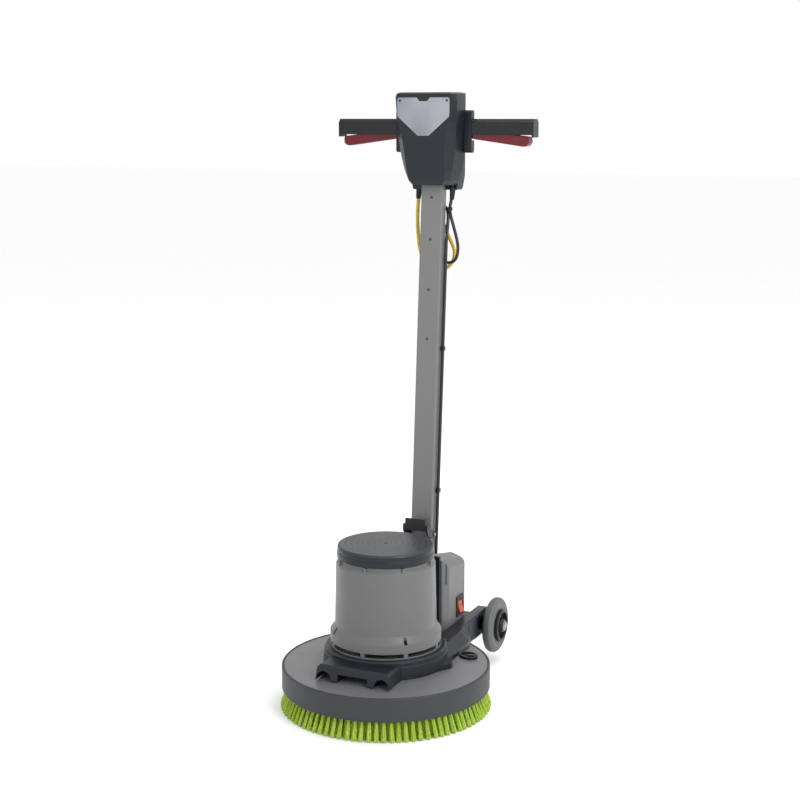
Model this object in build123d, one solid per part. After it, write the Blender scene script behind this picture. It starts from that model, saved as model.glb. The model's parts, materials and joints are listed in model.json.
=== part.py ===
"""Rotary floor machine: single-disc scrubber with a tilting handle pole.

Frame: X to the machine's left wheel side, Y rearwards towards the operator, Z up.
The origin is the point on the floor under the brush axis. Millimetres throughout.
The handle pole is modelled at rest, parked a few degrees back from upright.
"""
from build123d import *
import math
import os

# ---- driving dimensions: deck and brush -------------------------------------------------
DECK_R = 220.0
SKIRT_BOTTOM = 42.0
SKIRT_TOP = 91.5
SKIRT_WALL = 7.0
DECK_TOP = 96.0
DECK_SHEET = 4.0
BRISTLE_TIP_R = 224.5
BRISTLE_ROOT_R = 206.0
BRISTLE_INNER_R = 105.0
BRUSH_BLOCK_R = 207.5
BRUSH_BLOCK_BOTTOM = 46.0
BRUSH_BLOCK_TOP = 62.0
PORT_X = 152.0
PORT_Y = 90.0
PORT_R = 19.8

# ---- motor and gearbox ------------------------------------------------------------------
FLANGE_R = 117.0
FLANGE_BOTTOM = 134.0
FLANGE_TOP = 168.0
BARREL_R_LOW = 107.0
BARREL_R_HIGH = 104.0
BARREL_BOTTOM = 180.0
BARREL_TOP = 310.0
BARREL_RIM_R = 98.0
BARREL_RIM_TOP = 322.0
BARREL_WALL = 4.0
VENT_COUNT = 8
VENT_BOTTOM = 137.5
VENT_TOP = 146.0
VENT_SPAN = 40.5
CAP_R = 102.0
CAP_BOTTOM = 322.7
CAP_TOP = 349.4
SHAFT_R = 8.0
RUNNING_GAP = 0.05
BEARING_OUTER_R = 17.5
BEARING_WIDTH = 11.0
LOWER_BEARING_Z = 138.0
UPPER_BEARING_Z = 292.0
CORE_BOTTOM = 200.0
CORE_TOP = 266.0
ROTOR_R = 56.0
STATOR_R = 95.0

GEAR_MODULE = 1.5
SUN_TEETH = 12
PLANET_TEETH = 30
RING_TEETH = 72
PRESSURE_ANGLE = math.radians(20.0)
FLANK_THINNING = 0.30
GEAR_BOTTOM = 113.0
GEAR_WIDTH = 12.0
PLANET_COUNT = 3
PLANET_ORBIT = GEAR_MODULE * (SUN_TEETH + PLANET_TEETH) / 2
PLANET_PIN_R = 4.0
RING_OUTER_R = 61.0
GEARBOX_R = 68.0
GEARBOX_BOTTOM = 98.0
OUTPUT_R = 12.0
OUTPUT_BEARING_R = 24.0

# ---- chassis ----------------------------------------------------------------------------
BLOCK_HALF_WIDTH = 82.0
BLOCK_FRONT = -168.0
BLOCK_TOP = 127.0
POCKET_X = 64.5
POCKET_R = 16.0
POCKET_Z = 98.5
POCKET_TOP = 111.5
YOKE_BASE = 95.0
YOKE_RING_R = 128.0
ARM_OUTER = 102.0
ARM_INNER = 78.0
ARM_TOP = 126.0
PLATE_TOP = 101.0
SPINE_TOP = 289.0
ARM_BOTTOM = 72.0
ARM_END = 366.0
DECK_CLEAR_Y = 224.0
WHEEL_R = 62.5
WHEEL_WIDTH = 24.0
WHEEL_OUTER_X = 128.0
AXLE_Y = 349.0
AXLE_Z = 82.0
AXLE_R = 8.0
HUB_R = 36.0
HUB_REACH = 21.5

# ---- rear housing and tilt pivot --------------------------------------------------------
HOUSING_HALF_WIDTH = 75.0
HOUSING_FRONT = 150.0
HOUSING_CORNER_Y = 169.0
HOUSING_REAR = 264.0
HOUSING_SEAM = 248.0
HOUSING_BOTTOM = 103.0
HOUSING_SHOULDER = 246.0
HOUSING_ROOF = 295.0
HOUSING_WALL = 3.0
CHANNEL_HALF_WIDTH = 40.0
CHANNEL_FRONT = 166.0
CHANNEL_FLOOR = 112.0
PIVOT_Y = 186.0
PIVOT_Z = 150.0
PIVOT_R = 8.0
LEAN = 4.22

# ---- handle pole ------------------------------------------------------------------------
POLE_WIDTH = 50.0
POLE_DEPTH = 25.0
POLE_WALL = 1.6
POLE_FOOT_R = 19.0
POLE_BOTTOM = PIVOT_Z - POLE_FOOT_R
POLE_TOP = 1180.0
POLE_SCREW_HEIGHTS = (1054.0, 965.0, 857.0, 751.0)
PEDAL_PIVOT_ABOVE = 174.0
PEDAL_REACH = 34.0

# ---- head, grips and levers -------------------------------------------------------------
HEAD_SPLIT_Y = 258.0
HEAD_REAR_Y = 308.0
GRIP_TOP = 1221.0
GRIP_HEIGHT = 33.5
GRIP_END = 225.0
GRIP_START = 87.0
GRIP_Y = 266.0
GRIP_DEPTH = 34.0
GRIP_WALL = 3.2
LEVER_HINGE_X = 79.0
LEVER_HINGE_Z = 1199.0
LEVER_WIDTH = 24.0
CABLE_R = 3.5
CORD_R = 4.0
LEAD_OFFSET = 8.0
LEAD_JOINT = (29.2, LEAD_OFFSET, 968)
LEAD_ELBOW = (29.2, LEAD_OFFSET, 214.0)
LEAD_END = (13.0, 5.0, 186.0)


def save(node, shape):
    """Write one named sub-part."""
    export_step(shape, f"parts/{node}.step")


def group(*solids):
    """Several separate solids that share one node."""
    return Compound(children=list(solids))


def rod_z(radius, bottom, top, x=0.0, y=0.0):
    """Round bar standing along Z."""
    return Pos(x, y, (bottom + top) / 2) * Cylinder(radius, top - bottom)


def rod_x(radius, left, right, y, z):
    """Round bar lying along X."""
    return Pos((left + right) / 2, y, z) * Rot(0, 90, 0) * Cylinder(radius, right - left)


def rod_y(radius, front, rear, x, z):
    """Round bar lying along Y."""
    return Pos(x, (front + rear) / 2, z) * Rot(90, 0, 0) * Cylinder(radius, rear - front)


def block(x0, x1, y0, y1, z0, z1):
    """Rectangular block between two corners."""
    centre = Pos((x0 + x1) / 2, (y0 + y1) / 2, (z0 + z1) / 2)
    return centre * Box(x1 - x0, y1 - y0, z1 - z0)


def turned(points):
    """Solid of revolution about Z from (radius, height) points."""
    outline = Plane.XZ * make_face(Polyline(*points, close=True))
    return revolve(outline, Axis.Z, 360)


def plan_prism(points, bottom, top):
    """Upright prism over a plan outline of (x, y) points."""
    return Pos(0, 0, bottom) * extrude(make_face(Polyline(*points, close=True)), top - bottom)


def front_prism(points, front, rear):
    """Prism along Y over a front-view outline of (x, z) points."""
    face = Plane((0, rear, 0), x_dir=(1, 0, 0), z_dir=(0, -1, 0)) * make_face(Polyline(*points, close=True))
    return extrude(face, rear - front)


def side_prism(points, left, right):
    """Prism along X over a side-view outline of (y, z) points."""
    face = Plane((left, 0, 0), x_dir=(0, 1, 0), z_dir=(1, 0, 0)) * make_face(Polyline(*points, close=True))
    return extrude(face, right - left)


def mirrored(points):
    """Outline closed by its own mirror image about x = 0, from points with x > 0."""
    return list(points) + [(-x, z) for x, z in reversed(points)]


def leaned(shape):
    """Lean a piece drawn upright back to the parked angle of the pole."""
    return shape.rotate(Axis((0, PIVOT_Y, PIVOT_Z), (1, 0, 0)), -LEAN)


def on_pole(x, offset, height):
    """Point drawn upright on the pole: offset behind its centre plane, height above the floor."""
    angle = math.radians(LEAN)
    rise = height - PIVOT_Z
    y = PIVOT_Y + offset * math.cos(angle) + rise * math.sin(angle)
    z = PIVOT_Z - offset * math.sin(angle) + rise * math.cos(angle)
    return (x, y, z)


def rounded_route(points):
    """Route of straight runs joined by tangent arcs."""
    route = [Vector(*p) for p in points]
    radii = []
    for before, corner, after in zip(route, route[1:], route[2:]):
        arrive = corner - before
        leave = after - corner
        turn = math.radians(arrive.get_angle(leave))
        radii.append(0.45 * min(arrive.length, leave.length) / math.tan(turn / 2))
    return FilletPolyline(*route, radius=radii)


def tube_along(points, radius):
    """Plain round cord along a rounded route."""
    path = rounded_route(points)
    start = Plane(path @ 0, z_dir=path % 0)
    return sweep(start * Circle(radius), path=path)


# ---- gears ------------------------------------------------------------------------------
def involute(angle):
    """Involute function of a pressure angle."""
    return math.tan(angle) - angle


def tooth_outline(teeth, tip_r, root_r, thinning):
    """Closed outline of a spur gear with straight-sided steps along each involute flank."""
    pitch_r = GEAR_MODULE * teeth / 2
    base_r = pitch_r * math.cos(PRESSURE_ANGLE)
    half_tooth = math.pi / (2 * teeth) - thinning / (2 * pitch_r)
    start_r = max(base_r, root_r)
    flank = []
    for step in range(4):
        radius = start_r + (tip_r - start_r) * step / 3
        pressure = math.acos(min(1.0, base_r / radius))
        flank.append((radius, half_tooth + involute(PRESSURE_ANGLE) - involute(pressure)))
    if root_r < start_r:
        flank.insert(0, (root_r, flank[0][1]))
    points = []
    for tooth in range(teeth):
        middle = 2 * math.pi * tooth / teeth
        for radius, half in flank:
            points.append((radius * math.cos(middle - half), radius * math.sin(middle - half)))
        for radius, half in reversed(flank):
            points.append((radius * math.cos(middle + half), radius * math.sin(middle + half)))
    return points


def spur_gear(teeth, bore_r):
    """External spur gear with its first tooth on +X."""
    pitch_r = GEAR_MODULE * teeth / 2
    tip_r = pitch_r + 0.85 * GEAR_MODULE
    root_r = pitch_r - 1.2 * GEAR_MODULE
    outline = tooth_outline(teeth, tip_r, root_r, FLANK_THINNING)
    return extrude(make_face(Polyline(*outline, close=True)) - Circle(bore_r), GEAR_WIDTH)


def make_ring_gear():
    """Internal gear fixed in the gearbox, with a tooth pointing in on +X."""
    pitch_r = GEAR_MODULE * RING_TEETH / 2
    outer, inner = pitch_r + 1.2 * GEAR_MODULE, pitch_r - 0.85 * GEAR_MODULE
    space = tooth_outline(RING_TEETH, outer, inner, -FLANK_THINNING)
    opening = Rot(0, 0, 180 / RING_TEETH) * make_face(Polyline(*space, close=True))
    return Pos(0, 0, GEAR_BOTTOM) * extrude(Circle(RING_OUTER_R) - opening, GEAR_WIDTH)


def planet_places():
    """Orbit angle and centre of each planet gear."""
    for index in range(PLANET_COUNT):
        angle = 360 * index / PLANET_COUNT
        x = PLANET_ORBIT * math.cos(math.radians(angle))
        y = PLANET_ORBIT * math.sin(math.radians(angle))
        yield index + 1, angle, x, y


def save_gears():
    save("ring_gear", make_ring_gear())
    for number, angle, x, y in planet_places():
        gear = spur_gear(PLANET_TEETH, PLANET_PIN_R + RUNNING_GAP)
        turned_gear = Rot(0, 0, angle + 180 / PLANET_TEETH) * gear
        save(f"planet_gear_{number}", Pos(x, y, GEAR_BOTTOM) * turned_gear)


# ---- brush and its drive ----------------------------------------------------------------
def save_brush():
    block_profile = [
        (45, BRUSH_BLOCK_BOTTOM), (BRUSH_BLOCK_R, BRUSH_BLOCK_BOTTOM),
        (BRUSH_BLOCK_R, BRUSH_BLOCK_TOP - 4), (BRUSH_BLOCK_R - 4, BRUSH_BLOCK_TOP),
        (45, BRUSH_BLOCK_TOP),
    ]
    save("brush_block", turned(block_profile))
    bristles = [
        (BRISTLE_INNER_R, 0), (BRISTLE_TIP_R, 0),
        (BRISTLE_ROOT_R, BRUSH_BLOCK_BOTTOM), (BRISTLE_INNER_R + 8, BRUSH_BLOCK_BOTTOM),
    ]
    save("bristle_ring", turned(bristles))
    plate = rod_z(70, BRUSH_BLOCK_TOP, BRUSH_BLOCK_TOP + 8) - rod_z(OUTPUT_R, 60, 72)
    for index in range(3):
        lug_centre = Rot(0, 0, 120 * index + 60) * Pos(36, 0, BRUSH_BLOCK_TOP - 5)
        plate += lug_centre * Box(14, 20, 12)
    save("drive_plate", plate)
    carrier = rod_z(44, GEARBOX_BOTTOM + 8, GEAR_BOTTOM - 1)
    carrier += rod_z(OUTPUT_R, 58, GEARBOX_BOTTOM + 8)
    for _, _, x, y in planet_places():
        carrier += rod_z(PLANET_PIN_R, GEAR_BOTTOM - 1, GEAR_BOTTOM + GEAR_WIDTH + 1, x, y)
    save("planet_carrier", carrier)


# ---- deck -------------------------------------------------------------------------------
def save_deck():
    inner = DECK_R - SKIRT_WALL
    skirt = turned([
        (inner, SKIRT_BOTTOM), (DECK_R - 1, SKIRT_BOTTOM), (DECK_R, SKIRT_BOTTOM + 1),
        (DECK_R, SKIRT_TOP - 2), (DECK_R - 2, SKIRT_TOP), (inner + 2.5, SKIRT_TOP),
        (inner + 2.5, SKIRT_TOP - 4), (inner, SKIRT_TOP - 4),
    ])
    save("bumper_skirt", skirt)
    edge = inner - 0.1
    shell = turned([
        (OUTPUT_BEARING_R + 4, DECK_TOP), (150, DECK_TOP), (edge + 2, SKIRT_TOP - 1),
        (edge + 2, SKIRT_TOP - 4), (edge, SKIRT_TOP - 4), (edge, 66), (edge - 3, 66),
        (edge - 3, SKIRT_TOP - 2 - DECK_SHEET), (150, DECK_TOP - DECK_SHEET),
        (OUTPUT_BEARING_R + 4, DECK_TOP - DECK_SHEET),
    ])
    shell -= rod_z(PORT_R - 2.4, 80, 110, PORT_X, PORT_Y)
    save("deck_shell", shell)
    plug = rod_z(PORT_R, 0.3, 5.5) + rod_z(PORT_R - 3.3, -6, 0.3) - rod_z(PORT_R - 3.5, 1.6, 8)
    plug += block(-3, PORT_R - 3, -4.5, 4.5, 1, 5)
    slope = math.degrees(math.atan2(DECK_TOP - SKIRT_TOP + 1, edge + 2 - 150))
    bearing_angle = math.degrees(math.atan2(PORT_Y, PORT_X))
    port_r = math.hypot(PORT_X, PORT_Y)
    port_z = DECK_TOP - (port_r - 150) * math.tan(math.radians(slope))
    plug = Rot(0, 0, bearing_angle) * Pos(port_r, 0, port_z) * Rot(0, slope, 0) * plug
    save("port_plug", plug)


# ---- chassis yoke -----------------------------------------------------------------------
def arm_section(outline, y, side):
    """Cross-section of one chassis arm at a place along the machine."""
    points = [(side * x, z) for x, z in outline]
    return Plane((0, y, 0), x_dir=(1, 0, 0), z_dir=(0, -1, 0)) * make_face(Polyline(*points, close=True))


def make_arm(side):
    """Arm from the ring back to the axle: broad on the deck, then a deep beam behind it."""
    foot = YOKE_BASE + 1
    broad = [(ARM_INNER, foot), (131, foot), (129, 106), (113, 124), (109, ARM_TOP), (ARM_INNER, ARM_TOP)]
    slim = [(ARM_INNER, foot), (ARM_OUTER + 1, foot), (ARM_OUTER + 1, 106), (ARM_OUTER, 122),
            (ARM_OUTER - 3, ARM_TOP), (ARM_INNER, ARM_TOP)]
    arm = front_prism([(side * x, z) for x, z in broad], 0, 150)
    arm += loft([arm_section(broad, 150, side), arm_section(slim, DECK_CLEAR_Y, side)], ruled=True)
    deep = [(ARM_INNER, ARM_BOTTOM), (ARM_OUTER - 3, ARM_BOTTOM), (ARM_OUTER, ARM_BOTTOM + 4),
            (ARM_OUTER, 122), (ARM_OUTER - 3, ARM_TOP), (ARM_INNER, ARM_TOP)]
    arm += front_prism([(side * x, z) for x, z in deep], DECK_CLEAR_Y, 272)
    end = [(ARM_INNER, 64), (ARM_OUTER - 10, 64), (ARM_OUTER - 10, 116), (ARM_OUTER, 119),
           (ARM_OUTER, 122), (ARM_OUTER - 3, ARM_TOP), (ARM_INNER, ARM_TOP)]
    rounding = side_prism([(272, 66), (282, 64), (350, 64), (ARM_END - 3, 72), (ARM_END, AXLE_Z),
                           (ARM_END - 2, 104), (350, 121), (338, ARM_TOP), (272, ARM_TOP)], -120, 120)
    arm += front_prism([(side * x, z) for x, z in end], 272, ARM_END) & rounding
    inner, outer = sorted((side * (ARM_OUTER - 11), side * (WHEEL_OUTER_X - WHEEL_WIDTH - 1)))
    return arm + rod_x(17, inner, outer, AXLE_Y, AXLE_Z)


def make_front_block():
    """Bumper block at the front of the ring, with two pockets and a slot."""
    foot = YOKE_BASE + 1
    body = front_prism(mirrored([
        (BLOCK_HALF_WIDTH, foot), (BLOCK_HALF_WIDTH - 2, BLOCK_TOP - 5), (BLOCK_HALF_WIDTH - 7, BLOCK_TOP),
    ]), BLOCK_FRONT, -60)
    body &= side_prism([(BLOCK_FRONT, foot), (BLOCK_FRONT + 6, BLOCK_TOP - 3), (BLOCK_FRONT + 10, BLOCK_TOP),
                        (-60, BLOCK_TOP), (-60, foot)], -100, 100)
    for side in (-1, 1):
        body -= rod_y(POCKET_R, BLOCK_FRONT - 5, BLOCK_FRONT + 36, side * POCKET_X, POCKET_Z)
        body -= block(side * POCKET_X - POCKET_R, side * POCKET_X + POCKET_R, BLOCK_FRONT - 5,
                      BLOCK_FRONT + 36, foot - 1, POCKET_Z)
    return body - block(-33, 33, BLOCK_FRONT - 5, BLOCK_FRONT + 30, foot - 1, POCKET_TOP)


def make_yoke():
    foot = YOKE_BASE + 1
    body = turned([
        (0, foot), (YOKE_RING_R + 4, foot), (YOKE_RING_R + 2.5, 122), (YOKE_RING_R + 0.5, 123),
        (YOKE_RING_R + 0.5, 131), (YOKE_RING_R - 3, FLANGE_BOTTOM), (0, FLANGE_BOTTOM),
    ])
    body += make_front_block()
    lug = [(124, -36), (142, -6), (147, 3), (147, 12), (130, 44)]
    for side in (-1, 1):
        body += make_arm(side) + plan_prism([(side * x, y) for x, y in lug], foot, 107)
    plate = ARM_INNER + 1
    body += block(-plate, plate, 60, DECK_CLEAR_Y + 2, foot, PLATE_TOP)
    body += block(-plate, plate, DECK_CLEAR_Y, AXLE_Y + 11, PLATE_TOP - 8, PLATE_TOP)
    body += block(-63, 63, HOUSING_FRONT - 8, HOUSING_FRONT - 1, foot, SPINE_TOP)
    body -= rod_z(GEARBOX_R + 0.2, 80, 140)
    body -= turned([(GEARBOX_R, 108), (114, 108), (114, 140), (GEARBOX_R, 140)])
    body -= rod_x(AXLE_R + 0.2, -120, 120, AXLE_Y, AXLE_Z)
    return body


# ---- motor ------------------------------------------------------------------------------
def make_motor_housing():
    outer = turned([
        (0, FLANGE_BOTTOM + 0.2), (FLANGE_R, FLANGE_BOTTOM + 0.2), (FLANGE_R, FLANGE_TOP - 2),
        (FLANGE_R - 2, FLANGE_TOP), (BARREL_R_LOW + 2, BARREL_BOTTOM - 3), (BARREL_R_LOW, BARREL_BOTTOM),
        (BARREL_R_HIGH, BARREL_TOP), (BARREL_RIM_R, BARREL_RIM_TOP - 4),
        (BARREL_RIM_R, BARREL_RIM_TOP), (0, BARREL_RIM_TOP),
    ])
    inner = turned([
        (0, FLANGE_BOTTOM - 1), (FLANGE_R - BARREL_WALL, FLANGE_BOTTOM - 1),
        (FLANGE_R - BARREL_WALL, FLANGE_TOP - 6), (BARREL_R_LOW - BARREL_WALL, BARREL_BOTTOM - 6),
        (BARREL_R_HIGH - BARREL_WALL, BARREL_TOP - 3), (BARREL_RIM_R - BARREL_WALL, BARREL_RIM_TOP - 5),
        (60, BARREL_RIM_TOP - 5), (60, BARREL_RIM_TOP + 1), (0, BARREL_RIM_TOP + 1),
    ])
    housing = outer - inner
    for index in range(VENT_COUNT):
        turn = 360 * index / VENT_COUNT
        rib = Pos((BARREL_RIM_R + BARREL_R_HIGH) / 2 - 1.5, 0, (BARREL_TOP + BARREL_RIM_TOP) / 2 - 1)
        housing += Rot(0, 0, turn) * rib * Box(8, 4.5, BARREL_RIM_TOP - BARREL_TOP + 1.6)
        wedge = Rot(0, 0, turn + 360 / VENT_COUNT / 2) * vent_cutter()
        housing -= wedge
    for turn in (45, 135, 225, 315):
        notch = Pos(FLANGE_R - 4, 0, FLANGE_TOP + 3) * Box(13, 7, 14)
        housing -= Rot(0, 0, turn) * notch
    return housing


def vent_cutter():
    """Ring segment that cuts one cooling slot through the flange wall."""
    half = math.radians(VENT_SPAN / 2)
    reach = FLANGE_R + 20
    corner = (reach * math.cos(half), reach * math.sin(half))
    outline = [(0, 0), corner, (reach / math.cos(half), 0), (corner[0], -corner[1])]
    wedge = plan_prism(outline, VENT_BOTTOM, VENT_TOP)
    return wedge - rod_z(FLANGE_R - BARREL_WALL - 6, VENT_BOTTOM - 1, VENT_TOP + 1)


def save_motor():
    save("motor_housing", make_motor_housing())
    cap = turned([
        (0, CAP_BOTTOM + 6), (58, CAP_BOTTOM + 6), (58, CAP_BOTTOM), (CAP_R - 1, CAP_BOTTOM),
        (CAP_R, CAP_BOTTOM + 1), (CAP_R, CAP_BOTTOM + 12), (CAP_R - 1, CAP_BOTTOM + 13),
        (CAP_R - 1, CAP_TOP - 4), (CAP_R - 2.2, CAP_TOP - 1.2), (CAP_R - 5, CAP_TOP), (4, CAP_TOP),
        (4, CAP_TOP - 3), (0, CAP_TOP - 3),
    ])
    cap -= turned([(64, CAP_BOTTOM - 1), (CAP_R - 5, CAP_BOTTOM - 1), (CAP_R - 5, CAP_TOP - 6),
                   (40, CAP_TOP - 4), (40, CAP_BOTTOM + 12), (64, CAP_BOTTOM + 12)])
    save("motor_cap", cap - rod_z(2.5, CAP_BOTTOM - 2, CAP_TOP))
    screw = rod_z(3.6, CAP_TOP - 3, CAP_TOP - 0.8) + rod_z(2.4, CAP_BOTTOM + 1, CAP_TOP - 3)
    cap_screw = screw - block(-3, 3, -0.5, 0.5, CAP_TOP - 1.8, CAP_TOP)
    save("housing_screws", group(cap_screw, *cover_screws()))
    core = rod_z(STATOR_R, CORE_BOTTOM, CORE_TOP) - rod_z(ROTOR_R + 0.6, CORE_BOTTOM - 1, CORE_TOP + 1)
    for index in range(12):
        slot = Rot(0, 0, 30 * index) * Pos(ROTOR_R + 10, 0, (CORE_BOTTOM + CORE_TOP) / 2)
        core -= slot * Box(14, 12, CORE_TOP - CORE_BOTTOM + 2)
    save("stator_core", core)
    coils = []
    for index in range(12):
        place = Rot(0, 0, 30 * index) * Pos(ROTOR_R + 10, 0, (CORE_BOTTOM + CORE_TOP) / 2)
        coils.append(place * Box(12, 10, CORE_TOP - CORE_BOTTOM + 16))
    save("stator_windings", group(*coils))
    bracket = rod_z(97, UPPER_BEARING_Z - 2, UPPER_BEARING_Z + 4)
    bracket += rod_z(26, UPPER_BEARING_Z - 2, UPPER_BEARING_Z + BEARING_WIDTH + 2)
    bracket -= rod_z(BEARING_OUTER_R, UPPER_BEARING_Z, UPPER_BEARING_Z + BEARING_WIDTH)
    bracket -= rod_z(SHAFT_R + 3, UPPER_BEARING_Z - 5, UPPER_BEARING_Z + 30)
    for index in range(6):
        bracket -= Rot(0, 0, 60 * index) * Pos(62, 0, UPPER_BEARING_Z) * Cylinder(18, 30)
    save("upper_end_bracket", bracket)
    cover = rod_z(112, FLANGE_BOTTOM - 6, FLANGE_BOTTOM)
    cover += rod_z(30, FLANGE_BOTTOM - 3, LOWER_BEARING_Z + BEARING_WIDTH)
    cover -= rod_z(BEARING_OUTER_R, LOWER_BEARING_Z, LOWER_BEARING_Z + BEARING_WIDTH + 5)
    cover -= rod_z(SHAFT_R + 3, 100, 160)
    save("gearbox_cover", cover)
    bearings = []
    for bottom in (LOWER_BEARING_Z, UPPER_BEARING_Z):
        ring = rod_z(BEARING_OUTER_R, bottom, bottom + BEARING_WIDTH)
        bearings.append(ring - rod_z(SHAFT_R + RUNNING_GAP, bottom - 1, bottom + BEARING_WIDTH + 1))
    output = rod_z(OUTPUT_BEARING_R, 86, GEARBOX_BOTTOM + 2)
    bearings.append(output - rod_z(OUTPUT_R + RUNNING_GAP, 80, 110))
    save("ball_bearings", group(*bearings))
    shaft = rod_z(SHAFT_R, GEAR_BOTTOM + GEAR_WIDTH + 2, 308)
    shaft += rod_z(SHAFT_R - 2.5, GEAR_BOTTOM, GEAR_BOTTOM + GEAR_WIDTH + 2)
    shaft += Pos(0, 0, GEAR_BOTTOM) * spur_gear(SUN_TEETH, SHAFT_R - 3)
    save("motor_shaft", shaft)
    save("rotor_core", rod_z(ROTOR_R, CORE_BOTTOM, CORE_TOP) - rod_z(SHAFT_R, CORE_BOTTOM - 1, CORE_TOP + 1))
    fan = rod_z(20, 164, 184)
    fan += rod_z(88, 164, 167)
    for index in range(9):
        fan += Rot(0, 0, 40 * index) * Pos(52, 0, 175) * Rot(0, 0, 25) * Box(66, 3, 18)
    save("cooling_fan", fan - rod_z(SHAFT_R, 150, 200))


def save_gearbox():
    housing = rod_z(GEARBOX_R, GEARBOX_BOTTOM, FLANGE_BOTTOM - 6)
    housing -= rod_z(RING_OUTER_R, GEARBOX_BOTTOM + 6, FLANGE_BOTTOM)
    housing += rod_z(OUTPUT_BEARING_R + 3, 84, GEARBOX_BOTTOM + 1)
    housing -= rod_z(OUTPUT_BEARING_R, 86, GEARBOX_BOTTOM + 2)
    housing -= rod_z(OUTPUT_R + 3, 80, GEARBOX_BOTTOM + 8)
    save("gearbox_housing", housing)


# ---- rear housing -----------------------------------------------------------------------
def housing_section(shoulder, roof, y):
    """Front-view section of the rear housing, with rounded shoulders."""
    half = HOUSING_HALF_WIDTH
    rise = roof - shoulder
    outline = [(half, HOUSING_BOTTOM), (half, shoulder), (half - 2.5, shoulder + 0.24 * rise),
               (half - 10, shoulder + 0.56 * rise), (half - 30, shoulder + 0.88 * rise), (26, roof)]
    front = Plane((0, y, 0), x_dir=(1, 0, 0), z_dir=(0, -1, 0))
    return front * make_face(Polyline(*mirrored(outline), close=True))


def make_housing_shell():
    plan = make_face(Polyline(*mirrored([
        (HOUSING_HALF_WIDTH, HOUSING_REAR), (HOUSING_HALF_WIDTH, HOUSING_CORNER_Y), (66, HOUSING_FRONT),
    ]), close=True))
    plan = fillet(plan.vertices(), 5)
    body = Pos(0, 0, HOUSING_BOTTOM) * extrude(plan, HOUSING_ROOF - HOUSING_BOTTOM + 5)
    body &= loft([housing_section(HOUSING_SHOULDER + 13, HOUSING_ROOF, HOUSING_FRONT - 2),
                  housing_section(HOUSING_SHOULDER, HOUSING_ROOF - 26, HOUSING_REAR + 2)], ruled=True)
    body -= block(-CHANNEL_HALF_WIDTH, CHANNEL_HALF_WIDTH, CHANNEL_FRONT, 300, CHANNEL_FLOOR, 400)
    for side in (-1, 1):
        inner, outer = CHANNEL_HALF_WIDTH + HOUSING_WALL, HOUSING_HALF_WIDTH - HOUSING_WALL
        x0, x1 = sorted((side * inner, side * outer))
        body -= block(x0, x1, HOUSING_CORNER_Y + 7, HOUSING_REAR - HOUSING_WALL, HOUSING_BOTTOM - 1,
                      HOUSING_SHOULDER - 4)
        body -= Pos(side * 70.5, 159.5, 250) * Rot(0, 0, side * -25) * Box(5, 6, 52)
    return body - block(-48, 48, HOUSING_FRONT + HOUSING_WALL, CHANNEL_FRONT - HOUSING_WALL,
                        HOUSING_BOTTOM - 1, HOUSING_ROOF - 12)


def cover_screws():
    """Four screws that hold the rear cover on."""
    places = [(side * 57, height) for side in (-1, 1) for height in (128, 236)]
    return [rod_y(3.5, HOUSING_REAR - 2.5, HOUSING_REAR + 0.8, x, z) for x, z in places]


def save_rear_housing():
    shell = make_housing_shell()
    behind = block(-90, 90, HOUSING_SEAM, 300, 80, 400)
    seam = block(-90, 90, HOUSING_SEAM - 0.6, HOUSING_SEAM, 80, 400)
    opening = block(60, 90, 214, 242, 138, 176)
    save("rear_housing", shell - behind - seam - opening)
    bezel = block(HOUSING_HALF_WIDTH, HOUSING_HALF_WIDTH + 2.5, 210, 246, 135.5, 181)
    bezel += block(HOUSING_HALF_WIDTH - 12, HOUSING_HALF_WIDTH, 214.3, 241.7, 138.3, 175.7)
    bezel -= block(HOUSING_HALF_WIDTH - 10, HOUSING_HALF_WIDTH + 5, 218, 240, 141, 173)
    save("rocker_bezel", bezel)
    rocker_outline = [(HOUSING_HALF_WIDTH - 6, 144.5), (HOUSING_HALF_WIDTH + 8.0, 144.5),
                      (HOUSING_HALF_WIDTH + 3.0, 157), (HOUSING_HALF_WIDTH + 1.6, 169.5),
                      (HOUSING_HALF_WIDTH - 6, 169.5)]
    rocker = front_prism(rocker_outline, 218.6, 239.4)
    save("rocker_switch", rocker + rod_y(2.5, 218.15, 239.85, HOUSING_HALF_WIDTH - 6, 157))
    capacitor = rod_z(13.5, 116, 196, -57.5, 205) + rod_z(4, 196, 203, -57.5, 205)
    save("run_capacitor", capacitor)
    save("rear_cover", (shell & behind) - cover_screws())


def save_pivot():
    foot = CHANNEL_FLOOR + 0.2
    plates = block(-38.5, 38.5, 170, 226, foot, foot + 5)
    for side in (-1, 1):
        x0, x1 = sorted((side * 33.2, side * 38.5))
        plates += side_prism([(170, foot), (226, foot), (212, PIVOT_Z), (206, PIVOT_Z + 16),
                              (190, PIVOT_Z + 22), (174, PIVOT_Z + 16), (168, PIVOT_Z)], x0, x1)
    plates -= rod_x(PIVOT_R, -60, 60, PIVOT_Y, PIVOT_Z)
    save("pivot_bracket", plates)
    save("pivot_pin", rod_x(PIVOT_R, -39.3, 39.3, PIVOT_Y, PIVOT_Z))


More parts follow.
